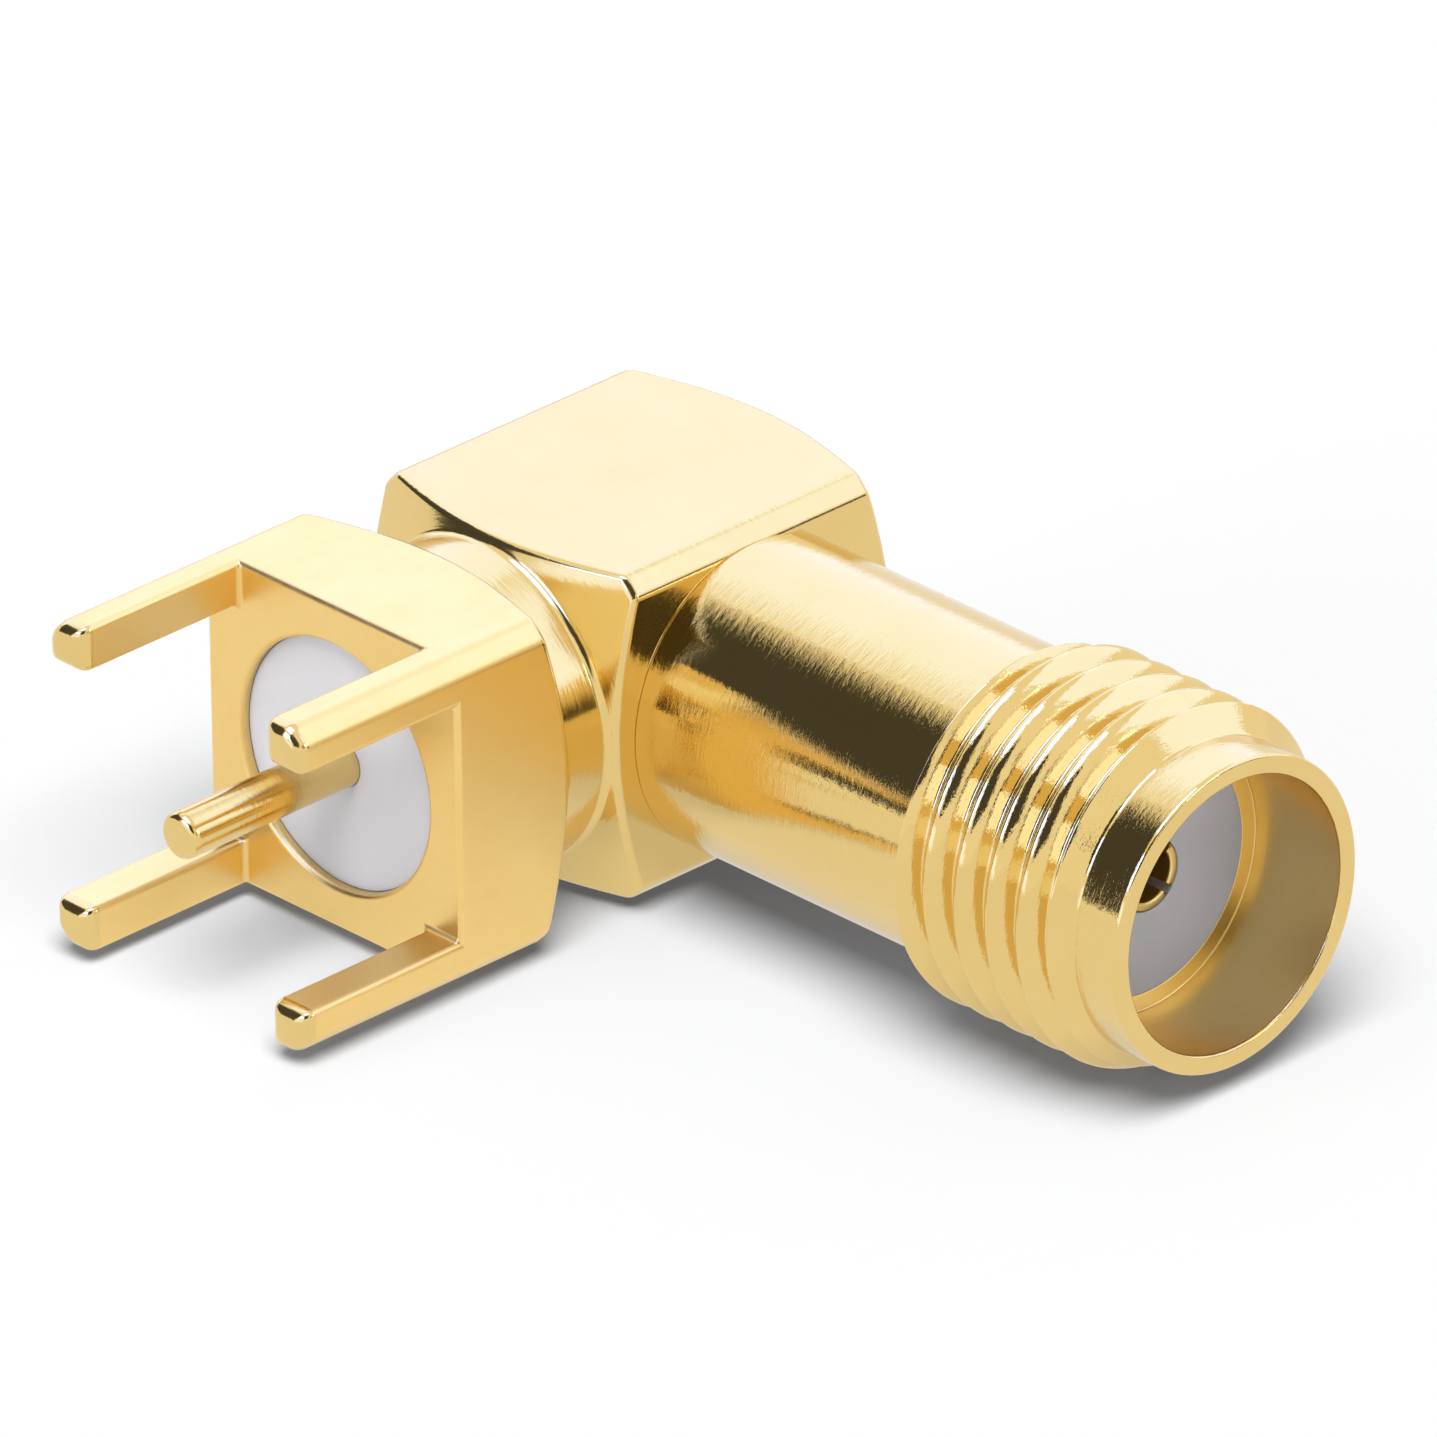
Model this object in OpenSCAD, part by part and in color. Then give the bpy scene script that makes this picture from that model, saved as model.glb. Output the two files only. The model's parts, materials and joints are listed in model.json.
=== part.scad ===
// Right-angle coaxial jack for a circuit board: a square body on four board legs, with a threaded
// jack pressed into one side. It lies on its side: the jack points along +X, the legs along -Y and
// +Z is up. The origin is on the tail pin's axis, in the plane of the seat that meets the board.

/* [Board footprint] */
// Distance between neighbouring leg centres
leg_pitch = 5.08; // [4.80:0.01:5.60]
// Width of each square leg
leg_w = 0.80; // [0.60:0.02:1.00]
// Length of the legs beyond the seat
leg_len = 3.50; // [2.50:0.10:5.00]
// Length of the chamfer on a leg's tip
tip_len = 0.22; // [0.10:0.02:0.60]
// How far that chamfer comes in from each side of the leg
tip_in = 0.16; // [0.05:0.01:0.25]

/* [Body] */
// Diameter that the square bar's long corners are turned down to
corner_d = 7.92; // [7.60:0.02:8.20]
// Length of the foot, from the seat to its shoulder at the middle of a flat
foot_len = 2.45; // [1.80:0.05:3.20]
// Length of the gap between foot and block, at the middle of a flat
waist_len = 1.05; // [0.70:0.05:1.60]
// Diameter of the round waist between foot and block
waist_d = 5.56; // [5.20:0.02:5.70]
// Length of the block, at the middle of a flat
block_len = 6.20; // [6.00:0.05:7.50]
// Angle of the turned chamfers on the ends of foot and block
shoulder_angle = 25; // [15:1:35]

/* [Jack shell] */
// Distance from the tail pin's axis to the jack's rim
jack_reach = 13.95; // [12.50:0.05:16.00]
// Diameter of the plain barrel
barrel_d = 5.40; // [5.30:0.02:5.60]
// Major diameter of the coupling thread
thread_d = 6.35; // [6.10:0.01:6.50]
// Length of the threaded stretch
thread_len = 3.80; // [3.00:0.10:4.80]
// Length of the chamfer at the thread's inner end
thread_back_chamfer = 0.20; // [0.10:0.02:0.40]
// Length of the chamfer at the thread's outer end
thread_front_chamfer = 0.36; // [0.10:0.02:0.60]
// Diameter of the plain lead in front of the thread
lead_d = 5.44; // [5.30:0.02:5.50]
// Length of that lead
lead_len = 0.95; // [0.50:0.05:1.40]
// Rounding of the rim's outer edge
rim_round = 0.08; // [0.04:0.01:0.15]
// Diameter of the mouth that takes the mating plug
mouth_d = 4.76; // [4.60:0.01:4.80]
// Depth of the mouth, from the rim to the insulator's face
mouth_depth = 1.95; // [1.50:0.05:2.40]
// Chamfer on the mouth's edge
mouth_chamfer = 0.05; // [0.02:0.01:0.10]
// Diameter of the spigot that is pressed into the body
spigot_d = 4.80; // [4.60:0.02:4.90]
// Length of that spigot
spigot_len = 1.30; // [1.00:0.05:1.80]

/* [Insulators] */
// Diameter of the front insulator
front_insulator_d = 4.15; // [3.90:0.01:4.40]
// Diameter of the tail insulator and of the hole that holds it
tail_insulator_d = 4.40; // [4.10:0.02:4.60]
// Length of the tail insulator
tail_insulator_len = 3.80; // [3.00:0.10:3.90]
// How far the tail insulator lies back from the seat
tail_recess = 0.20; // [0.10:0.02:0.40]
// Thickness of the tail insulator in front of the pin's collar
tail_skin = 0.16; // [0.10:0.01:0.18]

/* [Contacts] */
// Diameter of the socket contact
contact_d = 1.27; // [1.20:0.01:1.40]
// Diameter of the hole that takes the plug's pin
socket_d = 0.94; // [0.90:0.01:1.00]
// Depth of that hole
socket_depth = 3.00; // [2.50:0.10:4.00]
// Width of the two crossing slots that make four spring tines
slot_w = 0.14; // [0.10:0.01:0.16]
// Length of those slots
slot_len = 2.40; // [1.80:0.10:2.80]
// Rounding of the contact's front edge
contact_round = 0.10; // [0.04:0.01:0.14]
// Diameter of the tail pin outside the body
tail_pin_d = 0.81; // [0.70:0.01:0.90]
// Length of the tail pin beyond the seat
tail_pin_len = 3.45; // [2.50:0.05:5.00]
// Chamfer on the tail pin's tip
tail_pin_chamfer = 0.10; // [0.04:0.01:0.20]
// Diameter of the tail pin's collar inside its insulator
collar_d = 1.27; // [1.15:0.01:1.40]
// Play between the tail pin's top and the contact's fork, on each side
fork_play = 0.01; // [0.00:0.01:0.04]

/* [Access cap] */
// Diameter of the cap that closes the soldering hole in the block's end
cap_d = 5.00; // [4.80:0.02:5.20]
// Thickness of that cap
cap_t = 0.50; // [0.40:0.05:0.65]
// Chamfer on the cap's outer edge
cap_chamfer = 0.08; // [0.04:0.01:0.12]

/* [Hidden] */
$fn = 96;
gold = [0.93, 0.73, 0.33];
ptfe = [0.86, 0.85, 0.85];
// Cutting shapes run this far past the faces that they cut
over = 1;

// The square bar, and the stations along it, measured from the seat towards the block's end
bar_w = leg_pitch + leg_w;
flat = bar_w / 2;
shoulder_slope = tan(shoulder_angle);
block_start = foot_len + waist_len;
block_end = block_start + block_len;
axis_h = (block_start + block_end) / 2;

// A turned shoulder runs back from the middle of a flat: this is how far it has run at radius r
function shoulder(r) = (r - flat) * shoulder_slope;
end_face = block_end - shoulder(waist_d / 2);

// Stations along the jack, measured from the tail pin's axis
thread_end = jack_reach - lead_len;
thread_start = thread_end - thread_len;
insulator_face = jack_reach - mouth_depth;
spigot_end = flat - spigot_len;
fork_end = -contact_d / 2;

// Points of a quarter circle of radius r about a centre, from angle a0 to a1
function arc(c, r, a0, a1, steps = 6) =
    [for (i = [0 : steps]) let (a = a0 + (a1 - a0) * i / steps) c + r * [cos(a), sin(a)]];

// Turns a profile, drawn as [distance along the axis, radius], about the bar's axis, away from the seat
module turned_on_bar(profile) {
    rotate([-90, 0, 0])
        rotate_extrude()
            polygon([for (p = profile) [p[1], p[0]]]);
}

// Turns a profile about the jack's axis
module turned_on_jack(profile) {
    translate([0, axis_h, 0])
        rotate([0, 90, 0])
            rotate_extrude()
                polygon([for (p = profile) [p[1], p[0]]]);
}

// A hole along the bar's axis from station y0 to y1
module bar_hole(d, y0, y1) {
    translate([0, y0, 0])
        rotate([-90, 0, 0])
            cylinder(d = d, h = y1 - y0);
}

// A hole along the jack's axis from station x0 to x1
module jack_hole(d, x0, x1) {
    translate([x0, axis_h, 0])
        rotate([0, 90, 0])
            cylinder(d = d, h = x1 - x0);
}

// The bar seen square on: a full width, and two prongs with chamfered tips below the seat
module bar_view() {
    tip_y = -leg_len;
    inner = flat - leg_w;
    right = [[flat, end_face], [flat, tip_y + tip_len], [flat - tip_in, tip_y],
             [inner + tip_in, tip_y], [inner, tip_y + tip_len], [inner, 0]];
    left = [for (i = [len(right) - 1 : -1 : 0]) [-right[i][0], right[i][1]]];
    polygon(concat(right, left));
}

// The bar's turned outline: corners, foot shoulder, waist, block shoulder and far chamfer
module turned_blank() {
    corner_r = corner_d / 2;
    waist_r = waist_d / 2;
    turned_on_bar([[-leg_len, 0], [-leg_len, corner_r],
                   [foot_len - shoulder(corner_r), corner_r],
                   [foot_len - shoulder(waist_r), waist_r],
                   [block_start + shoulder(waist_r), waist_r],
                   [block_start + shoulder(corner_r), corner_r],
                   [block_end - shoulder(corner_r), corner_r],
                   [end_face, waist_r], [end_face, 0]]);
}

// One piece: square block, round waist, square foot and four legs, bored for what it carries
module elbow_body() {
    color(gold)
        difference() {
            intersection() {
                turned_blank();
                linear_extrude(height = bar_w, center = true) bar_view();
                rotate([0, 90, 0])
                    linear_extrude(height = bar_w, center = true) bar_view();
            }
            bar_hole(tail_insulator_d, -over, end_face);
            bar_hole(cap_d, end_face - cap_t, end_face + over);
            jack_hole(spigot_d, spigot_end, flat + over);
        }
}

// Turned shell: spigot, barrel, coupling thread, lead and mouth. The threaded stretch keeps its major
// diameter, without the groove
module jack_shell() {
    barrel_r = barrel_d / 2;
    crest_r = thread_d / 2;
    lead_r = lead_d / 2;
    mouth_r = mouth_d / 2;
    insulator_r = front_insulator_d / 2;
    color(gold)
        turned_on_jack(concat(
            [[spigot_end, insulator_r], [spigot_end, spigot_d / 2], [flat, spigot_d / 2],
             [flat, barrel_r], [thread_start, barrel_r], [thread_start + thread_back_chamfer, crest_r],
             [thread_end - thread_front_chamfer, crest_r], [thread_end, lead_r]],
            arc([jack_reach - rim_round, lead_r - rim_round], rim_round, 90, 0),
            [[jack_reach, mouth_r + mouth_chamfer], [jack_reach - mouth_chamfer, mouth_r],
             [insulator_face, mouth_r], [insulator_face, insulator_r]]));
}

// Plain sleeve that centres the socket contact in the shell
module front_insulator() {
    color(ptfe)
        difference() {
            jack_hole(front_insulator_d, spigot_end, insulator_face);
            jack_hole(contact_d, spigot_end - over, insulator_face + over);
        }
}

// Sleeve in the foot, with a thin front skin that stops the tail pin's collar
module tail_insulator() {
    color(ptfe)
        difference() {
            bar_hole(tail_insulator_d, tail_recess, tail_recess + tail_insulator_len);
            bar_hole(tail_pin_d, tail_recess - over, tail_recess + over);
            bar_hole(collar_d, tail_recess + tail_skin, tail_recess + tail_insulator_len + over);
        }
}

// Rod with four spring tines round a hole in front, and a fork behind that straddles the tail pin
module socket_contact() {
    contact_r = contact_d / 2;
    fork_w = tail_pin_d + 2 * fork_play;
    color(gold)
        difference() {
            turned_on_jack(concat(
                [[fork_end, 0], [fork_end, contact_r]],
                arc([insulator_face - contact_round, contact_r - contact_round], contact_round, 90, 0),
                [[insulator_face, 0]]));
            jack_hole(socket_d, insulator_face - socket_depth, insulator_face + over);
            for (turn = [45, 135])
                translate([insulator_face - slot_len, axis_h, 0])
                    rotate([turn, 0, 0])
                        translate([0, -contact_d, -slot_w / 2])
                            cube([slot_len + over, 2 * contact_d, slot_w]);
            translate([fork_end - over, axis_h - contact_d, -fork_w / 2])
                cube([over - fork_end + fork_w / 2, 2 * contact_d, fork_w]);
        }
}

// Stepped pin: solder tail, collar inside the insulator, and a top that passes through the fork
module tail_pin() {
    tail_r = tail_pin_d / 2;
    collar_r = collar_d / 2;
    collar_top = axis_h - contact_d / 2;
    color(gold)
        turned_on_bar([[-tail_pin_len, 0], [-tail_pin_len, tail_r - tail_pin_chamfer],
                       [tail_pin_chamfer - tail_pin_len, tail_r], [tail_recess + tail_skin, tail_r],
                       [tail_recess + tail_skin, collar_r], [collar_top, collar_r], [collar_top, tail_r],
                       [axis_h + contact_d / 2, tail_r], [axis_h + contact_d / 2, 0]]);
}

// Disc pressed flush into the block's end, over the hole through which the two contacts are soldered
module access_cap() {
    cap_r = cap_d / 2;
    color(gold)
        turned_on_bar([[end_face - cap_t, 0], [end_face - cap_t, cap_r], [end_face - cap_chamfer, cap_r],
                       [end_face, cap_r - cap_chamfer], [end_face, 0]]);
}

elbow_body();
jack_shell();
front_insulator();
tail_insulator();
socket_contact();
tail_pin();
access_cap();
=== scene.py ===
"""Right-angle coaxial jack for a circuit board: fine form, finishes and studio round its solids."""

import json
import math

import bmesh
import bpy
from mathutils import Matrix, Vector


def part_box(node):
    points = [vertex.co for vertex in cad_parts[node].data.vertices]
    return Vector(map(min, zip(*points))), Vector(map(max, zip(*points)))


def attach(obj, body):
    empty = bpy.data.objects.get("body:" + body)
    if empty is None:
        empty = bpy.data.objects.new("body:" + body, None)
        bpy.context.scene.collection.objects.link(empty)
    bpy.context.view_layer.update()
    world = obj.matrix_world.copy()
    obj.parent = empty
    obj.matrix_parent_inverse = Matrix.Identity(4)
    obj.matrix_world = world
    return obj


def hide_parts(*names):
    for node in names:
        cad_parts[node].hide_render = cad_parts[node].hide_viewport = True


MM = 0.001

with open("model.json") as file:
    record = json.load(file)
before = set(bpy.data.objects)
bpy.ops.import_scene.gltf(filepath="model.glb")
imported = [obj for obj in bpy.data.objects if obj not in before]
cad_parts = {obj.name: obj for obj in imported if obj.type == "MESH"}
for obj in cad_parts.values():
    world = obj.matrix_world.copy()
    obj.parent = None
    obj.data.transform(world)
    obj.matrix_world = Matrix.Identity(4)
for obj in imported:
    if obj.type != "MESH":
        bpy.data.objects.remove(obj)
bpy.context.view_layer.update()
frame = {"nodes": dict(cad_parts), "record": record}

# The photograph's camera. Lengths are in millimetres, places in the photograph in its pixels
PHOTO_SIZE = 1437
PIXELS_TO_MM = 62.14
ORIGIN_IN_PHOTO = (333.542, 766.708)
CAMERA_AZIMUTH = math.radians(46.389)
CAMERA_ELEVATION = math.radians(27.54)
CAMERA_ROLL = math.radians(0.81)
CAMERA_DISTANCE = 450.0
SENSOR_WIDTH = 36.0
# The camera sees what lies between these distances, in metres
NEAREST_SEEN = 0.01
FARTHEST_SEEN = 20


def add_object(name, data):
    """A new object in the scene for a mesh, a lamp or a camera."""
    holder = bpy.data.objects.new(name, data)
    bpy.context.scene.collection.objects.link(holder)
    return holder


def across_and_down(forward, roll):
    """The image's right and down directions for a view direction, turned by the roll."""
    right = forward.cross(Vector((0, 0, 1))).normalized()
    down = forward.cross(right)
    return (math.cos(roll) * right + math.sin(roll) * down,
            math.cos(roll) * down - math.sin(roll) * right)


def add_camera():
    """A long lens that puts the part's origin where the photograph has it."""
    level = math.cos(CAMERA_ELEVATION)
    forward = -Vector((level * math.sin(CAMERA_AZIMUTH), -level * math.cos(CAMERA_AZIMUTH),
                       math.sin(CAMERA_ELEVATION)))
    right, down = across_and_down(forward, CAMERA_ROLL)
    offset = [(place - PHOTO_SIZE / 2) / PIXELS_TO_MM for place in ORIGIN_IN_PHOTO]
    place = -offset[0] * right - offset[1] * down - CAMERA_DISTANCE * forward
    camera = bpy.data.cameras.new("camera")
    camera.sensor_width = SENSOR_WIDTH
    camera.lens = PIXELS_TO_MM * CAMERA_DISTANCE / PHOTO_SIZE * SENSOR_WIDTH
    camera.clip_start = NEAREST_SEEN
    camera.clip_end = FARTHEST_SEEN
    holder = add_object("camera", camera)
    holder.matrix_world = (Matrix.Translation(place * MM)
                           @ Matrix((right, -down, -forward)).transposed().to_4x4())
    bpy.context.scene.camera = holder


add_camera()


# Sizes, all in millimetres. Those that the solids carry are read from them
mounts = {mount["name"]: mount for mount in frame["record"]["mounts"]}
mount_radius = {name: mount["dims"].get("r_mm") for name, mount in mounts.items()}
nodes_mm = {name: [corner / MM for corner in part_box(name)] for name in frame["nodes"]}

FLAT = nodes_mm["elbow_body"][1].x
LEG_LEN = -nodes_mm["elbow_body"][0].y
END_FACE = nodes_mm["elbow_body"][1].y
AXIS_H = mounts["jack_mouth"]["pos_m"][1] / MM
REACH = nodes_mm["jack_shell"][1].x
SPIGOT_END = nodes_mm["jack_shell"][0].x
THREAD_R = mount_radius["jack_thread"]
MOUTH_R = mount_radius["jack_mouth"]
SOCKET_R = mount_radius["contact_socket"]
SOCKET_DEPTH = mounts["contact_socket"]["dims"]["length_mm"]
TAIL_PIN_R = mount_radius["tail_pin"]
TAIL_PIN_LEN = -nodes_mm["tail_pin"][0].y
INSULATOR_FACE = nodes_mm["front_insulator"][1].x
FRONT_INSULATOR_R = nodes_mm["front_insulator"][1].z
TAIL_INSULATOR_R = nodes_mm["tail_insulator"][1].z
TAIL_RECESS = nodes_mm["tail_insulator"][0].y
TAIL_INSULATOR_END = nodes_mm["tail_insulator"][1].y
CONTACT_R = nodes_mm["socket_contact"][1].z
CONTACT_END = nodes_mm["socket_contact"][0].x
CAP_R = nodes_mm["access_cap"][1].z
CAP_T = nodes_mm["access_cap"][1].y - nodes_mm["access_cap"][0].y
FLOOR_H = nodes_mm["jack_shell"][0].z

# Sizes of the solids that can't be read from their boxes
LEG_W = 0.80
CORNER_R = 3.96
WAIST_R = 2.78
FOOT_LEN = 2.45
BLOCK_START = 3.50
BLOCK_LEN = 6.20
SHOULDER_SLOPE = math.tan(math.radians(25))
BARREL_R = 2.70
LEAD_R = 2.72
LEAD_LEN = 0.95
THREAD_LEN = 3.80
THREAD_BACK_CHAMFER = 0.20
THREAD_FRONT_CHAMFER = 0.36
SPIGOT_R = 2.40
TAIL_SKIN = 0.16
COLLAR_R = 0.635
SLOT_W = 0.14
SLOT_LEN = 2.40
SLOT_TURNS = (45, 135)
FORK_W = 0.83

# The thread's groove, 36 turns to the inch, which the solids don't have
PITCH = 25.4 / 36
THREAD_ROOT_R = 2.81
CREST_W = 0.20
CREST_ROUND = 0.42
ROOT_ROUND = 0.04
FLANK_SLOPE = 1 / math.tan(math.radians(30))
GROOVE_TURN = 277 / 360

# Roundings of edges and tips, and the steps in which they are made
EDGE = 0.10
EDGE_STEPS = 5
TINE_EDGE = 0.012
TINE_EDGE_STEPS = 2
TIP_ROUND = 0.28
TIP_STEPS = 8
# Roundings of the turned profiles' corners
HIDDEN_ROUND = 0.01
TIGHT_ROUND = 0.02
FINE_ROUND = 0.03
THREAD_BACK_ROUND = 0.04
THREAD_FRONT_ROUND = 0.05
LEAD_ROOT_ROUND = 0.10
RIM_ROUND = 0.08
MOUTH_ROUND = 0.06
TINE_ROUND = 0.09
SOCKET_ROUND = 0.05
PIN_ROUND = 0.16
PIN_TOP_ROUND = 0.04
CAP_ROUND = 0.06

# Faces that meet at less than this are one
FLAT_ENOUGH = math.radians(0.4)
# Edges that turn by more than this get a rounding
SHARP = math.radians(20)
TINE_SHARP = math.radians(50)
# How nearly a face of the body looks along an axis to count as one of its flats
SQUARE_ON = 0.999
# Up to this station on the bar, the body's other faces are its legs'
LEGS_END = 0.1

# A profile's corner is rounded in so many steps, and takes at most this share of a side
FILLET_STEPS = 5
FILLET_ROOM = 0.45
TIP_ROOM = 0.7
# How far a rounding's support points stand off it, at most one of so many parts of its room
SUPPORT_GAP = 0.006
SUPPORT_PARTS = 9

# How finely the pieces are meshed
ROW_STEP = 0.02
THREAD_SEGMENTS = 192
SLEEVE_SEGMENTS = 128
PIN_SEGMENTS = 96
LINES_BETWEEN_LEGS = 12
LINES_ON_LEG = 2
LINES_ON_CORNER = 1
# Points nearer to each other than this are merged
MERGE_GAP = 0.0004
# How far off a wall or an angle still counts as on it
WALL_SLACK = 0.01
ANGLE_SLACK = 1e-6
# How far a cutter reaches past what it cuts
CUT_MARGIN = 1

# Finishes. Cells are to the millimetre, along X, Y and Z, and heights are in millimetres
GOLD_PALE = (0.86, 0.64, 0.27, 1)
GOLD_DEEP = (0.79, 0.56, 0.19, 1)
# Bores get a paler, brighter gold than the outside: painted light that lifts the shade inside them
BORE_PALE_PAINTED_LIGHT = (0.90, 0.70, 0.33, 1)
BORE_DEEP_PAINTED_LIGHT = (0.84, 0.62, 0.24, 1)
# The legs and foot are tumbled. Their gold is painted brighter and warmer, a painted reflection of
# the gold around them
TUMBLED_PALE_PAINTED_LIGHT = (0.97, 0.70, 0.28, 1)
TUMBLED_DEEP_PAINTED_LIGHT = (0.92, 0.63, 0.20, 1)
GOLD_CLOUDS = (0.5, 0.5, 0.5)
GOLD_GRAIN = (22, 22, 22)
GOLD_GRAIN_HEIGHT = 0.0004
CLOUDS_IN_COLOUR = 0.7
MARKS_IN_COLOUR = 0.3
LEAST_ROUGHNESS = 0.6
MARKS_IN_ROUGHNESS = 0.6
CLOUDS_IN_ROUGHNESS = 0.3
PTFE_PALE = (0.84, 0.815, 0.83, 1)
PTFE_DEEP = (0.79, 0.765, 0.785, 1)
PTFE_CLOUDS = (1.2, 1.2, 1.2)
PTFE_GRAIN = (16, 16, 16)
PTFE_GRAIN_HEIGHT = 0.002
PTFE_ROUGHNESS = 0.38
GRAIN_IN_ROUGHNESS = 0.12
# The body's finishes, in the order of its material slots
TUMBLED_PAINTED_LIGHT, MILLED, TURNED = range(3)

# Light levels, where 1 is a white ground in plain light
ROOM_LIGHT = 0.25
TOP_LIGHT = 0.86
FILL_LIGHT = 0.20
WHITE = (1, 1, 1, 1)
GROUND = (0.95, 0.95, 0.95, 1)
GROUND_IN_METAL = (0.92, 0.92, 0.92, 1)
# How much of its shadow the ground loses in polished metal
GROUND_EVENNESS = 0.75
# What the gold mirrors on to the ground, without the gold's own colour
THROWN_LIGHT = (0.20, 0.26, 0.64, 1)
# A ray that has met a matt surface has a diffuse depth of 1 or more
BEFORE_MATT = 0.5
# What the polished metal sees: lamps add to the white room behind them, cards hide it
COOL_SOFTBOX = (0.20, 0.45, 1.40)
WINDOW = (2.0, 2.2, 2.6)
GLINT = (0.5, 1.2, 5.0)
DARK = 0.07
GREY = 0.4

# How much of the sky a broad light fills, in degrees
BROAD_ANGLE = 40
# The studio's sizes, in metres
STUDIO_RADIUS = 0.5
STUDIO_CENTRE = Vector((0.006, 0.005, 0.0))
GROUND_REACH = 4.0


class Value:
    """A number in a node tree. Arithmetic on it adds Math nodes."""

    def __init__(self, tree, socket):
        self.tree = tree
        self.socket = socket

    def __add__(self, other):
        return self.tree.math("ADD", self, other)

    __radd__ = __add__

    def __sub__(self, other):
        return self.tree.math("SUBTRACT", self, other)

    def __rsub__(self, other):
        return self.tree.math("SUBTRACT", other, self)

    def __mul__(self, other):
        return self.tree.math("MULTIPLY", self, other)

    __rmul__ = __mul__

    def __truediv__(self, other):
        return self.tree.math("DIVIDE", self, other)


class Tree:
    """A node tree with one method that adds any node, and short ones for numbers and colours."""

    def __init__(self, nodes_and_links):
        self.nodes = nodes_and_links.nodes
        self.links = nodes_and_links.links

    def node(self, kind, settings=None, inputs=None):
        """A node of this kind. Its settings are set first, then its sockets are fed."""
        node = self.nodes.new(kind)
        for name, value in (settings or {}).items():
            setattr(node, name, value)
        for key, value in (inputs or {}).items():
            self.feed(node.inputs[key], value)
        return node

    def feed(self, socket, value):
        """Links a node's output to a socket, or sets the socket's own value."""
        if isinstance(value, Value):
            value = value.socket
        if isinstance(value, bpy.types.NodeSocket):
            self.links.new(value, socket)
        else:
            socket.default_value = value

    def math(self, operation, *values):
        """The result of a Math node on these numbers."""
        node = self.node("ShaderNodeMath", {"operation": operation}, dict(enumerate(values)))
        return Value(self, node.outputs[0])

    def value(self, node, output):
        """A node's output as a number to reckon with."""
        return Value(self, node.outputs[output])

    def blend(self, factor, first, second):
        """A colour between two: the first at 0, the second at 1."""
        node = self.node("ShaderNodeMix", {"data_type": "RGBA"}, {
            "Factor": factor, "A": first, "B": second})
        return node.outputs["Result"]


def new_material(name):
    """An empty material and its tree."""
    material = bpy.data.materials.new(name)
    material.use_nodes = True
    material.node_tree.nodes.clear()
    return material, Tree(material.node_tree)


def noise(tree, cells, detail=3.0, roughness=0.55):
    """Noise fixed to the part, with so many cells to the millimetre along X, Y and Z."""
    place = tree.node("ShaderNodeTexCoord").outputs["Object"]
    stretched = tree.node("ShaderNodeMapping", inputs={
        "Vector": place, "Scale": [count / MM for count in cells]})
    texture = tree.node("ShaderNodeTexNoise", inputs={
        "Vector": stretched.outputs["Vector"], "Scale": 1.0, "Detail": detail,
        "Roughness": roughness})
    return tree.value(texture, "Fac")


def finish_shader(tree, colour, roughness, height, metallic):
    """A surface with this colour, roughness and relief."""
    bump = tree.node("ShaderNodeBump", inputs={"Strength": 1.0, "Distance": MM, "Height": height})
    shader = tree.node("ShaderNodeBsdfPrincipled", inputs={
        "Base Color": colour, "Metallic": metallic, "Roughness": roughness,
        "Normal": bump.outputs["Normal"]})
    tree.node("ShaderNodeOutputMaterial", inputs={"Surface": shader.outputs["BSDF"]})


def gold(name, marks_cells, marks_height, roughness, pale=GOLD_PALE, deep=GOLD_DEEP):
    """Gold plating over tool marks. The marks have many cells across their run and few along it."""
    material, tree = new_material(name)
    marks = noise(tree, marks_cells, detail=4.0, roughness=0.7)
    clouds = noise(tree, GOLD_CLOUDS)
    grain = noise(tree, GOLD_GRAIN, detail=2.0)
    finish_shader(
        tree,
        colour=tree.blend(clouds * CLOUDS_IN_COLOUR + marks * MARKS_IN_COLOUR, pale, deep),
        roughness=roughness * (LEAST_ROUGHNESS + marks * MARKS_IN_ROUGHNESS
                               + clouds * CLOUDS_IN_ROUGHNESS),
        height=marks * marks_height + grain * GOLD_GRAIN_HEIGHT,
        metallic=1.0)
    return material


def fluoropolymer():
    """Off-white insulator, turned, faintly waxy."""
    material, tree = new_material("fluoropolymer")
    clouds = noise(tree, PTFE_CLOUDS)
    grain = noise(tree, PTFE_GRAIN, detail=4.0)
    finish_shader(
        tree,
        colour=tree.blend(clouds, PTFE_PALE, PTFE_DEEP),
        roughness=PTFE_ROUGHNESS + grain * GRAIN_IN_ROUGHNESS,
        height=grain * PTFE_GRAIN_HEIGHT,
        metallic=0.0)
    return material


gold_turned_jack = gold("gold_turned_jack", marks_cells=(9, 2.2, 2.2), marks_height=0.0065,
                        roughness=0.05)
gold_turned_bar = gold("gold_turned_bar", marks_cells=(0.8, 8, 0.8), marks_height=0.0040,
                       roughness=0.12)
# Bored gold: rougher, and its paler, brighter colour is painted light for the shaded inside of bores
gold_bored_painted_light = gold("gold_bored_painted_light", marks_cells=(10, 0.7, 0.7), marks_height=0.0012,
                  roughness=0.32, pale=BORE_PALE_PAINTED_LIGHT, deep=BORE_DEEP_PAINTED_LIGHT)
gold_milled = gold("gold_milled", marks_cells=(9, 0.35, 9), marks_height=0.0003,
                   roughness=0.10)
# Tumbled gold is rougher, and its brighter, warmer colour is painted reflection
gold_tumbled_painted_light = gold("gold_tumbled_painted_light", marks_cells=(3, 1, 3), marks_height=0.0003,
                    roughness=0.33, pale=TUMBLED_PALE_PAINTED_LIGHT, deep=TUMBLED_DEEP_PAINTED_LIGHT)
ptfe = fluoropolymer()


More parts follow.
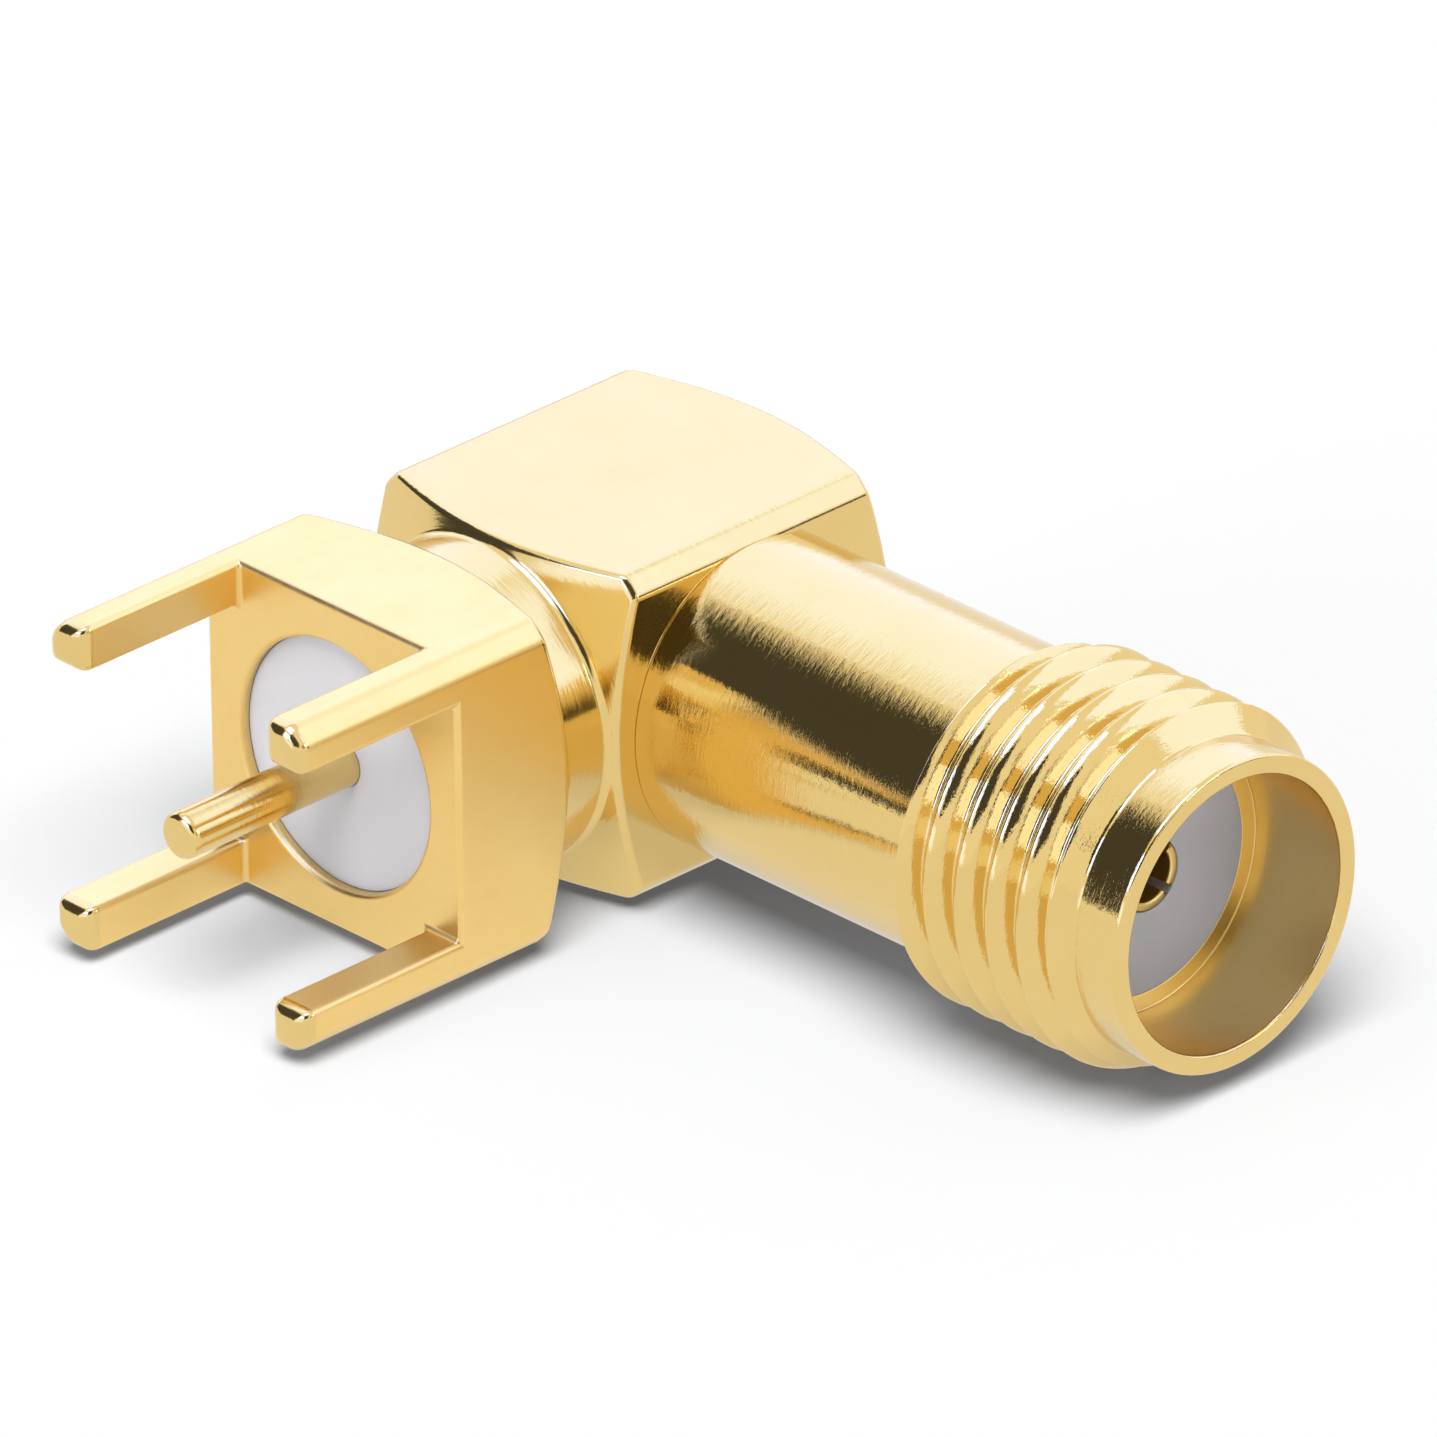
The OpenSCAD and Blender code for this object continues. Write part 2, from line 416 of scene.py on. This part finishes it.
def fillet(corners, closed, steps=FILLET_STEPS, most_room=FILLET_ROOM):
    """A profile of (station, radius) from corners of (station, radius, rounding).

    A rounding has a support point on both sides, for shading. An open profile keeps its ends.
    """
    result = []
    for i, (station, radius, rounding) in enumerate(corners):
        if not closed and i in (0, len(corners) - 1):
            result.append((station, radius))
            continue
        corner = Vector((station, radius))
        before = Vector(corners[i - 1][:2]) - corner
        after = Vector(corners[(i + 1) % len(corners)][:2]) - corner
        half = before.angle(after) / 2
        room = most_room * min(before.length, after.length)
        reach = min(rounding / math.tan(half), room)
        gap = min(SUPPORT_GAP, room / SUPPORT_PARTS)
        start = corner + before.normalized() * reach
        end = corner + after.normalized() * reach
        result.append(start + before.normalized() * gap)
        for step in range(steps + 1):
            t = step / steps
            result.append(start * (1 - t) ** 2 + corner * 2 * t * (1 - t) + end * t ** 2)
        result.append(end + after.normalized() * gap)
    return [tuple(point) for point in result]


def on_jack(station, radius, turn):
    """A point at a station on the jack's axis; turn goes from +Y to +Z."""
    return (station, AXIS_H + radius * math.cos(turn), radius * math.sin(turn))


def on_bar(station, radius, turn):
    """A point at a station on the bar's axis; turn goes from +Z to +X."""
    return (radius * math.sin(turn), station, radius * math.cos(turn))


def turned(name, profile, place, segments, closed):
    """A mesh object, in millimetres, from a profile of (station, radius) turned about an axis."""
    vertices = []
    for station, radius in profile:
        vertices += [place(station, radius, 2 * math.pi * i / segments) for i in range(segments)]
    rings = len(profile)
    faces = []
    for ring in range(rings if closed else rings - 1):
        near = ring * segments
        far = (ring + 1) % rings * segments
        for i in range(segments):
            j = (i + 1) % segments
            faces.append((near + i, near + j, far + j, far + i))
    mesh = bpy.data.meshes.new(name)
    mesh.from_pydata(vertices, [], faces)
    piece = add_object(name, mesh)
    tidy(piece)
    return piece


def tidy(piece):
    """Merges doubles and turns every face outwards."""
    shape = bmesh.new()
    shape.from_mesh(piece.data)
    bmesh.ops.remove_doubles(shape, verts=shape.verts, dist=MERGE_GAP)
    bmesh.ops.recalc_face_normals(shape, faces=shape.faces)
    shape.to_mesh(piece.data)
    shape.free()


def object_from(shape, name):
    """An object with a bmesh's shape. The bmesh is freed."""
    mesh = bpy.data.meshes.new(name)
    shape.to_mesh(mesh)
    shape.free()
    return add_object(name, mesh)


def apply_modifiers(piece):
    """Swaps the piece's mesh for its modified form and removes the modifiers."""
    bpy.context.view_layer.update()
    evaluated = piece.evaluated_get(bpy.context.evaluated_depsgraph_get())
    mesh = bpy.data.meshes.new_from_object(evaluated)
    piece.modifiers.clear()
    piece.data = mesh


def cut(piece, cutter):
    """Takes the cutter's shape out of the piece and deletes the cutter."""
    boolean = piece.modifiers.new("cut", "BOOLEAN")
    boolean.operation = "DIFFERENCE"
    boolean.solver = "EXACT"
    boolean.object = cutter
    apply_modifiers(piece)
    bpy.data.objects.remove(cutter)


def smooth(piece):
    """Shades every face of the piece smoothly."""
    for polygon in piece.data.polygons:
        polygon.use_smooth = True


def round_edges(piece, width, steps, angle):
    """Rounds the edges that turn by more than the angle. Large faces keep their own shading."""
    smooth(piece)
    bevel = piece.modifiers.new("edges", "BEVEL")
    bevel.width = width
    bevel.segments = steps
    bevel.limit_method = "ANGLE"
    bevel.angle_limit = angle
    bevel.use_clamp_overlap = False
    shading = piece.modifiers.new("shading", "WEIGHTED_NORMAL")
    shading.mode = "FACE_AREA"
    apply_modifiers(piece)


def finish_piece(piece, materials, node):
    """Brings the piece to metres, smooths it and puts it in its node's place."""
    piece.data.transform(Matrix.Scale(MM, 4))
    smooth(piece)
    piece.data.materials.clear()
    for material in materials:
        piece.data.materials.append(material)
    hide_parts(node)
    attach(piece, "root")


def shoulder(radius):
    """How far a turned shoulder runs back from the middle of a flat at this radius."""
    return (radius - FLAT) * SHOULDER_SLOPE


def leg_start():
    """The angle from the middle of a flat at which a leg begins."""
    return math.atan2(FLAT - LEG_W, FLAT)


def body_turns():
    """The angles at which the body has a line of points, dense where its outline turns."""
    corner = math.acos(FLAT / CORNER_R)
    diagonal = math.pi / 4
    stretches = [(0, leg_start(), LINES_BETWEEN_LEGS), (leg_start(), corner, LINES_ON_LEG),
                 (corner, diagonal, LINES_ON_CORNER)]
    eighth = [a + (b - a) * i / lines for a, b, lines in stretches for i in range(lines)]
    eighth.append(diagonal)
    quarter = eighth + [math.pi / 2 - angle for angle in reversed(eighth[1:-1])]
    return [angle + turn * math.pi / 2 for turn in range(4) for angle in quarter]


def outer_radius(angle):
    """The bar's radius: a flat, or the turned corner."""
    return min(FLAT / max(abs(math.cos(angle)), abs(math.sin(angle))), CORNER_R)


def seat_radius(angle):
    """The edge of the seat: a flat, or the inner sides of a leg."""
    inner = FLAT - LEG_W
    x, z = abs(math.cos(angle)), abs(math.sin(angle))
    return min(FLAT / max(x, z), inner / min(x, z) if min(x, z) > 0 else FLAT)


def body_skin():
    """Foot, waist, block and four legs as one closed skin of rings."""
    turns = body_turns()
    count = len(turns)
    shape = bmesh.new()

    def ring(station, radius):
        """One ring of points. Station and radius are numbers or functions of the angle."""
        points = []
        for angle in turns:
            r = radius(angle) if callable(radius) else radius
            y = station(angle) if callable(station) else station
            points.append(shape.verts.new(on_bar(y, r, angle)))
        return points

    def skin(first, second, which):
        """Faces between two rings, each from one of these points to the next."""
        for i in which:
            j = (i + 1) % count
            shape.faces.new((first[i], first[j], second[j], second[i]))

    block_end = BLOCK_START + BLOCK_LEN
    bore_mouth = ring(0, TAIL_INSULATOR_R)
    seat_edge = ring(0, seat_radius)
    foot_edge = ring(lambda a: FOOT_LEN - shoulder(outer_radius(a)), outer_radius)
    foot_root = ring(FOOT_LEN - shoulder(WAIST_R), WAIST_R)
    block_root = ring(BLOCK_START + shoulder(WAIST_R), WAIST_R)
    block_edge = ring(lambda a: BLOCK_START + shoulder(outer_radius(a)), outer_radius)
    far_edge = ring(lambda a: block_end - shoulder(outer_radius(a)), outer_radius)
    end_edge = ring(END_FACE, WAIST_R)
    cap_rim = ring(END_FACE, CAP_R)
    cap_floor = ring(END_FACE - CAP_T, CAP_R)
    bore_end = ring(END_FACE - CAP_T, TAIL_INSULATOR_R)

    quarter = math.pi / 2
    first_on_leg = leg_start() - ANGLE_SLACK
    past_leg = quarter - leg_start() - ANGLE_SLACK
    on_leg = [i for i, angle in enumerate(turns) if first_on_leg <= angle % quarter < past_leg]
    off_leg = [i for i in range(count) if i not in on_leg]
    skin(bore_mouth, seat_edge, range(count))
    skin(seat_edge, foot_edge, off_leg)
    rings = (foot_edge, foot_root, block_root, block_edge, far_edge, end_edge, cap_rim, cap_floor,
             bore_end, bore_mouth)
    for first, second in zip(rings, rings[1:]):
        skin(first, second, range(count))

    per_leg = len(on_leg) // 4
    for leg in range(4):
        mine = on_leg[leg * per_leg:(leg + 1) * per_leg]
        add_leg(shape, mine + [(mine[-1] + 1) % count], foot_edge, seat_edge, turns)
    bmesh.ops.recalc_face_normals(shape, faces=shape.faces)
    bmesh.ops.dissolve_limit(shape, angle_limit=FLAT_ENOUGH, verts=shape.verts, edges=shape.edges)
    return shape


def add_leg(shape, mine, foot_edge, seat_edge, turns):
    """One leg below the seat: its sides, and a rounded tip made of shrinking outlines."""
    outside = [turns[i] for i in mine]
    inside = [turns[i] for i in reversed(mine[1:-1])]
    middle = on_bar(0, (FLAT - LEG_W / 2) * math.sqrt(2), outside[len(outside) // 2])

    def outline(station, share):
        """The leg's outline at a station, drawn in to a share of its width."""
        points = []
        for angles, radius in ((outside, outer_radius), (inside, seat_radius)):
            for angle in angles:
                x, _, z = on_bar(0, radius(angle), angle)
                points.append(shape.verts.new((middle[0] + (x - middle[0]) * share, station,
                                               middle[2] + (z - middle[2]) * share)))
        return points

    half = LEG_W / 2
    side = fillet([(0, half, 0), (-LEG_LEN, half, TIP_ROUND), (-LEG_LEN, 0, 0)], closed=False,
                  steps=TIP_STEPS, most_room=TIP_ROOM)
    outlines = [outline(station, width / half) for station, width in side[1:-1]]
    start = outlines[0]
    size = len(start)
    for first, second in zip(outlines, outlines[1:]):
        for i in range(size):
            j = (i + 1) % size
            shape.faces.new((first[i], first[j], second[j], second[i]))
    shape.faces.new(outlines[-1])

    # The outer sides run on from the foot's flats; the inner ones start at the seat
    for i in range(len(mine) - 1):
        face = [foot_edge[mine[i]], foot_edge[mine[i + 1]], start[i + 1], start[i]]
        if i == 0:
            face.append(seat_edge[mine[0]])
        if i == len(mine) - 2:
            face.insert(2, seat_edge[mine[-1]])
        shape.faces.new(face)
    top = [seat_edge[i] for i in reversed(mine)]
    low = start[len(mine) - 1:] + [start[0]]
    for i in range(len(top) - 1):
        shape.faces.new((top[i], top[i + 1], low[i + 1], low[i]))


def body_finish(polygon):
    """A face's finish: legs and foot tumbled and painted with warmer light, flats milled, tips and
    all else turned.
    """
    square = max(abs(polygon.normal.x), abs(polygon.normal.z)) > SQUARE_ON
    on_tip = polygon.center.y < (TIP_ROUND - LEG_LEN) * MM
    if polygon.center.y < (FOOT_LEN if square else LEGS_END) * MM and not on_tip:
        return TUMBLED_PAINTED_LIGHT
    return MILLED if square else TURNED


def make_elbow_body():
    """The body with its bore for the jack's spigot and fine rounded edges."""
    body = object_from(body_skin(), "elbow_body_form")
    bore_start = FLAT + CUT_MARGIN
    cut(body, turned("spigot_bore", [(SPIGOT_END, 0), (SPIGOT_END, SPIGOT_R),
                                     (bore_start, SPIGOT_R), (bore_start, 0)],
                     on_jack, PIN_SEGMENTS, closed=False))
    round_edges(body, EDGE, EDGE_STEPS, SHARP)
    finish_piece(body, [gold_tumbled_painted_light, gold_milled, gold_turned_bar], "elbow_body")
    for polygon in body.data.polygons:
        polygon.material_index = body_finish(polygon)


def thread_cutter():
    """A tree that cuts a right-handed thread into a piece turned about the jack's axis."""
    group = bpy.data.node_groups.new("thread_cutter", "GeometryNodeTree")
    tree = Tree(group)
    group.interface.new_socket("Geometry", in_out="INPUT", socket_type="NodeSocketGeometry")
    group.interface.new_socket("Geometry", in_out="OUTPUT", socket_type="NodeSocketGeometry")
    for name in ("Axis height", "Start", "Start turn", "Pitch", "Crest radius", "Root radius",
                 "Flank slope", "Crest width", "Crest rounding", "Root rounding"):
        group.interface.new_socket(name, in_out="INPUT", socket_type="NodeSocketFloat")
    group.interface.new_socket("Finish", in_out="INPUT", socket_type="NodeSocketMaterial")
    given = tree.node("NodeGroupInput")

    def size(name):
        """One of the tree's own sizes."""
        return tree.value(given, name)

    place = tree.node("ShaderNodeSeparateXYZ", inputs={
        "Vector": tree.node("GeometryNodeInputPosition").outputs["Position"]})
    x, z = tree.value(place, "X"), tree.value(place, "Z")
    y = tree.value(place, "Y") - size("Axis height")
    radius = tree.math("SQRT", y * y + z * z)
    turn = tree.math("ARCTAN2", z, y) / (2 * math.pi)
    turns_run = (x - size("Start")) / size("Pitch") - turn + size("Start turn")
    # The crest lies halfway through each turn
    from_crest = tree.math("ABSOLUTE", tree.math("FRACT", turns_run) - 0.5) * size("Pitch")
    flank = size("Crest radius") - (from_crest - size("Crest width") / 2) * size("Flank slope")
    groove = tree.math("SMOOTH_MAX", flank, size("Root radius"), size("Root rounding"))
    form = tree.math("SMOOTH_MIN", groove, size("Crest radius"), size("Crest rounding"))
    share = tree.math("MINIMUM", radius, form) / radius
    moved = tree.node("ShaderNodeCombineXYZ", inputs={
        "X": x, "Y": y * share + size("Axis height"), "Z": z * share})
    cut_piece = tree.node("GeometryNodeSetPosition", inputs={
        "Geometry": given.outputs["Geometry"], "Position": moved.outputs["Vector"]})
    real = tree.node("GeometryNodeRealizeInstances", inputs={
        "Geometry": cut_piece.outputs["Geometry"]})
    finished = tree.node("GeometryNodeSetMaterial", inputs={
        "Geometry": real.outputs["Geometry"], "Material": given.outputs["Finish"]})
    tree.node("NodeGroupOutput", inputs={"Geometry": finished.outputs["Geometry"]})
    return group


def with_rows(profile, start, end, inner_limit):
    """The profile with a row of points every ROW_STEP between two stations, on its outer side."""
    result = []
    for here, there in zip(profile, profile[1:] + profile[:1]):
        result.append(here)
        low, high = sorted((here[0], there[0]))
        outside = min(here[1], there[1]) > inner_limit
        if outside and start - ROW_STEP < low and high < end + ROW_STEP:
            parts = max(1, round((high - low) / ROW_STEP))
            result += [tuple(Vector(here).lerp(Vector(there), i / parts)) for i in range(1, parts)]
    return result


def make_jack_shell():
    """Spigot, barrel, thread, lead and mouth, turned in one, with the thread then cut by the tree."""
    thread_end = REACH - LEAD_LEN
    thread_start = thread_end - THREAD_LEN
    profile = fillet([(SPIGOT_END, FRONT_INSULATOR_R, FINE_ROUND),
                      (SPIGOT_END, SPIGOT_R, FINE_ROUND),
                      (FLAT, SPIGOT_R, TIGHT_ROUND),
                      (FLAT, BARREL_R, FINE_ROUND),
                      (thread_start, BARREL_R, FINE_ROUND),
                      (thread_start + THREAD_BACK_CHAMFER, THREAD_R, THREAD_BACK_ROUND),
                      (thread_end - THREAD_FRONT_CHAMFER, THREAD_R, THREAD_FRONT_ROUND),
                      (thread_end, LEAD_R, LEAD_ROOT_ROUND),
                      (REACH, LEAD_R, RIM_ROUND),
                      (REACH, MOUTH_R, MOUTH_ROUND),
                      (INSULATOR_FACE, MOUTH_R, FINE_ROUND),
                      (INSULATOR_FACE, FRONT_INSULATOR_R, TIGHT_ROUND)], closed=True)
    profile = with_rows(profile, thread_start, thread_end, BARREL_R - WALL_SLACK)
    shell = turned("jack_shell_form", profile, on_jack, THREAD_SEGMENTS, closed=True)
    tree = thread_cutter()
    modifier = shell.modifiers.new("thread", "NODES")
    modifier.node_group = tree
    sizes = {"Axis height": AXIS_H, "Start": thread_start, "Start turn": GROOVE_TURN, "Pitch": PITCH,
             "Crest radius": THREAD_R, "Root radius": THREAD_ROOT_R, "Flank slope": FLANK_SLOPE,
             "Crest width": CREST_W, "Crest rounding": CREST_ROUND, "Root rounding": ROOT_ROUND,
             "Finish": gold_turned_jack}
    for item in tree.interface.items_tree:
        if item.name in sizes:
            modifier[item.identifier] = sizes[item.name]
    apply_modifiers(shell)
    finish_piece(shell, [gold_turned_jack, gold_bored_painted_light], "jack_shell")
    # Faces inside the mouth get the bored gold, whose paler, brighter colour is painted light
    for polygon in shell.data.polygons:
        x, y, z = polygon.center / MM
        on_bore = math.hypot(y - AXIS_H, z) < MOUTH_R + WALL_SLACK
        polygon.material_index = 1 if on_bore and x < REACH - RIM_ROUND else 0


def make_front_insulator():
    """Sleeve between the shell and the socket contact."""
    profile = fillet([(SPIGOT_END, CONTACT_R, TIGHT_ROUND),
                      (SPIGOT_END, FRONT_INSULATOR_R, TIGHT_ROUND),
                      (INSULATOR_FACE, FRONT_INSULATOR_R, TIGHT_ROUND),
                      (INSULATOR_FACE, CONTACT_R, TIGHT_ROUND)], closed=True)
    sleeve = turned("front_insulator_form", profile, on_jack, SLEEVE_SEGMENTS, closed=True)
    finish_piece(sleeve, [ptfe], "front_insulator")


def make_tail_insulator():
    """Sleeve in the foot, with a thin skin in front of the tail pin's collar."""
    skin_end = TAIL_RECESS + TAIL_SKIN
    profile = fillet([(TAIL_RECESS, TAIL_PIN_R, TIGHT_ROUND),
                      (TAIL_RECESS, TAIL_INSULATOR_R, TIGHT_ROUND),
                      (TAIL_INSULATOR_END, TAIL_INSULATOR_R, TIGHT_ROUND),
                      (TAIL_INSULATOR_END, COLLAR_R, TIGHT_ROUND),
                      (skin_end, COLLAR_R, TIGHT_ROUND),
                      (skin_end, TAIL_PIN_R, TIGHT_ROUND)], closed=True)
    sleeve = turned("tail_insulator_form", profile, on_bar, SLEEVE_SEGMENTS, closed=True)
    finish_piece(sleeve, [ptfe], "tail_insulator")


def make_tail_pin():
    """Solder tail, collar and top, turned in one."""
    skin_end = TAIL_RECESS + TAIL_SKIN
    collar_top = AXIS_H - CONTACT_R
    top = AXIS_H + CONTACT_R
    profile = fillet([(-TAIL_PIN_LEN, 0, 0),
                      (-TAIL_PIN_LEN, TAIL_PIN_R, PIN_ROUND),
                      (skin_end, TAIL_PIN_R, HIDDEN_ROUND),
                      (skin_end, COLLAR_R, FINE_ROUND),
                      (collar_top, COLLAR_R, FINE_ROUND),
                      (collar_top, TAIL_PIN_R, HIDDEN_ROUND),
                      (top, TAIL_PIN_R, PIN_TOP_ROUND),
                      (top, 0, 0)], closed=False)
    pin = turned("tail_pin_form", profile, on_bar, PIN_SEGMENTS, closed=False)
    finish_piece(pin, [gold_turned_bar], "tail_pin")


def make_access_cap():
    """Disc pressed into the block's end."""
    profile = fillet([(END_FACE - CAP_T, 0, 0),
                      (END_FACE - CAP_T, CAP_R, FINE_ROUND),
                      (END_FACE, CAP_R, CAP_ROUND),
                      (END_FACE, 0, 0)], closed=False)
    cap = turned("access_cap_form", profile, on_bar, SLEEVE_SEGMENTS, closed=False)
    finish_piece(cap, [gold_turned_bar], "access_cap")


def box_between(name, low, high):
    """A plain block, for cutting."""
    shape = bmesh.new()
    middle = (Vector(low) + Vector(high)) / 2
    bmesh.ops.create_cube(shape, size=1.0, matrix=Matrix.Translation(middle) @ Matrix.Diagonal(
        (*(Vector(high) - Vector(low)), 1.0)))
    return object_from(shape, name)


def make_socket_contact():
    """Rod with a hole and four spring tines in front, and a fork behind."""
    hole_end = INSULATOR_FACE - SOCKET_DEPTH
    profile = fillet([(CONTACT_END, 0, 0),
                      (CONTACT_END, CONTACT_R, FINE_ROUND),
                      (INSULATOR_FACE, CONTACT_R, TINE_ROUND),
                      (INSULATOR_FACE, SOCKET_R, SOCKET_ROUND),
                      (hole_end, SOCKET_R, HIDDEN_ROUND),
                      (hole_end, 0, 0)], closed=False)
    contact = turned("socket_contact_form", profile, on_jack, PIN_SEGMENTS, closed=False)
    wide = 2 * CONTACT_R
    axis = Matrix.Translation((0, AXIS_H, 0))
    for turn in SLOT_TURNS:
        slot = box_between("slot", (INSULATOR_FACE - SLOT_LEN, -wide, -SLOT_W / 2),
                           (INSULATOR_FACE + CUT_MARGIN, wide, SLOT_W / 2))
        slot.data.transform(axis @ Matrix.Rotation(math.radians(turn), 4, "X"))
        cut(contact, slot)
    cut(contact, box_between("fork", (CONTACT_END - CUT_MARGIN, AXIS_H - wide, -FORK_W / 2),
                             (FORK_W / 2, AXIS_H + wide, FORK_W / 2)))
    round_edges(contact, TINE_EDGE, TINE_EDGE_STEPS, TINE_SHARP)
    # The contact gets the bored gold, painted lighter as in the bores
    finish_piece(contact, [gold_bored_painted_light], "socket_contact")


def towards(azimuth, elevation):
    """A unit direction. Azimuth 0 is +Y and 90 is +X, in degrees."""
    azimuth, elevation = math.radians(azimuth), math.radians(elevation)
    return Vector((math.cos(elevation) * math.sin(azimuth), math.cos(elevation) * math.cos(azimuth),
                   math.sin(elevation)))


def panel_place(azimuths, elevations):
    """Where a flat panel stands, and its width and height, to fill a window of directions."""
    middle = (sum(azimuths) / 2, sum(elevations) / 2)
    direction = towards(*middle)
    width = 2 * STUDIO_RADIUS * math.tan(math.radians(azimuths[1] - azimuths[0]) / 2)
    width *= math.cos(math.radians(middle[1]))
    height = 2 * STUDIO_RADIUS * math.tan(math.radians(elevations[1] - elevations[0]) / 2)
    place = Matrix.Translation(STUDIO_CENTRE + direction * STUDIO_RADIUS)
    return place @ direction.to_track_quat("Z", "Y").to_matrix().to_4x4(), width, height


def add_softbox(name, azimuths, elevations, colour):
    """A lamp that only polished surfaces see. Its colour is its level, as for the other lights."""
    place, width, height = panel_place(azimuths, elevations)
    lamp = bpy.data.lights.new(name, "AREA")
    lamp.shape = "RECTANGLE"
    lamp.size = width
    lamp.size_y = height
    lamp.color = colour
    lamp.energy = math.pi * width * height
    holder = add_object(name, lamp)
    holder.matrix_world = place
    holder.visible_camera = False
    holder.visible_diffuse = False


def add_card(name, azimuths, elevations, brightness):
    """A card that only polished surfaces see, as a photographer stands one beside bright metal."""
    place, width, height = panel_place(azimuths, elevations)
    shape = bmesh.new()
    bmesh.ops.create_grid(shape, x_segments=1, y_segments=1, size=1.0)
    bmesh.ops.scale(shape, vec=(width / 2, height / 2, 1), verts=shape.verts)
    card = object_from(shape, name)
    card.matrix_world = place
    material, tree = new_material(name)
    glow = tree.node("ShaderNodeEmission", inputs={"Color": WHITE, "Strength": brightness})
    tree.node("ShaderNodeOutputMaterial", inputs={"Surface": glow.outputs["Emission"]})
    card.data.materials.append(material)
    card.visible_camera = False
    card.visible_diffuse = False
    card.visible_shadow = False


def add_broad_light(name, level, azimuth, elevation):
    """A broad far light that matt surfaces see, and polished metal doesn't."""
    lamp = bpy.data.lights.new(name, "SUN")
    lamp.energy = level * math.pi
    lamp.angle = math.radians(BROAD_ANGLE)
    holder = add_object(name, lamp)
    holder.rotation_mode = "QUATERNION"
    holder.rotation_quaternion = towards(azimuth, elevation).to_track_quat("Z", "Y")
    holder.visible_glossy = False


def not_thrown(tree, rays):
    """1 for rays that reach the eye directly or off metal, 0 for those thrown on to the ground."""
    return tree.math("LESS_THAN", tree.value(rays, "Diffuse Depth"), BEFORE_MATT)


def add_world():
    """White to the camera and in polished metal, and a plain soft light for the rest."""
    world = bpy.data.worlds.new("studio")
    bpy.context.scene.world = world
    world.use_nodes = True
    world.node_tree.nodes.clear()
    tree = Tree(world.node_tree)
    rays = tree.node("ShaderNodeLightPath")
    mirrored = tree.math("MAXIMUM", tree.value(rays, "Is Glossy Ray"),
                         tree.value(rays, "Is Transmission Ray"))
    # What the metal throws on to the ground is cool before it meets the gold, so the shadow is grey
    thrown = mirrored * (1 - not_thrown(tree, rays))
    seen = tree.math("MAXIMUM", tree.value(rays, "Is Camera Ray"), mirrored)
    background = tree.node("ShaderNodeBackground", inputs={
        "Color": tree.blend(thrown, WHITE, THROWN_LIGHT),
        "Strength": seen * (1 - ROOM_LIGHT) + ROOM_LIGHT})
    tree.node("ShaderNodeOutputWorld", inputs={"Surface": background.outputs["Background"]})


def ground_material():
    """Pale and matt. The eye sees the shadow on it, and polished metal sees less of that."""
    material, tree = new_material("ground")
    matt = tree.node("ShaderNodeBsdfPrincipled", inputs={
        "Base Color": GROUND, "Roughness": 1.0, "Specular IOR Level": 0.0})
    # What the metal throws back on to the ground is cool, as in the world
    rays = tree.node("ShaderNodeLightPath")
    direct = not_thrown(tree, rays)
    lit = tree.node("ShaderNodeEmission", inputs={
        "Color": tree.blend(direct, THROWN_LIGHT, GROUND_IN_METAL), "Strength": 1.0})
    evenness = tree.value(rays, "Is Glossy Ray") * (1 - direct * (1 - GROUND_EVENNESS))
    mixed = tree.node("ShaderNodeMixShader", inputs={
        0: evenness, 1: matt.outputs["BSDF"], 2: lit.outputs["Emission"]})
    tree.node("ShaderNodeOutputMaterial", inputs={"Surface": mixed.outputs["Shader"]})
    return material


def add_ground():
    """A wide pale ground that the part lies on."""
    shape = bmesh.new()
    bmesh.ops.create_grid(shape, x_segments=1, y_segments=1, size=GROUND_REACH)
    bmesh.ops.translate(shape, vec=(0, 0, FLOOR_H * MM), verts=shape.verts)
    ground = object_from(shape, "ground")
    ground.data.materials.append(ground_material())


bpy.context.scene.view_settings.view_transform = "Standard"
make_elbow_body()
make_jack_shell()
make_front_insulator()
make_tail_insulator()
make_tail_pin()
make_socket_contact()
make_access_cap()

# Directions are in degrees, as seen from the part. A panel's are pairs, from and to
add_world()
add_ground()
add_broad_light("top_light", TOP_LIGHT, azimuth=133, elevation=64)
add_broad_light("fill_light", FILL_LIGHT, azimuth=-165, elevation=9)
add_softbox("back_softbox", azimuths=(-95, -22), elevations=(8, 54), colour=COOL_SOFTBOX)
add_softbox("side_softbox", azimuths=(-18, 56), elevations=(12, 56), colour=COOL_SOFTBOX)
add_softbox("low_softbox", azimuths=(160, 205), elevations=(2, 14), colour=COOL_SOFTBOX)
add_softbox("window", azimuths=(57, 73), elevations=(14, 27), colour=WINDOW)
add_softbox("front_window", azimuths=(163, 204), elevations=(22, 46), colour=GLINT)
add_softbox("overhead_window", azimuths=(114, 246), elevations=(63, 99), colour=GLINT)
add_card("dark_card", azimuths=(-150, -98), elevations=(2, 50), brightness=DARK)
add_card("camera_side_card", azimuths=(108, 158), elevations=(18, 58), brightness=DARK)
add_card("horizon_card", azimuths=(42, 62), elevations=(-4, 8), brightness=DARK)
add_card("grey_card", azimuths=(74, 92), elevations=(8, 26), brightness=GREY)
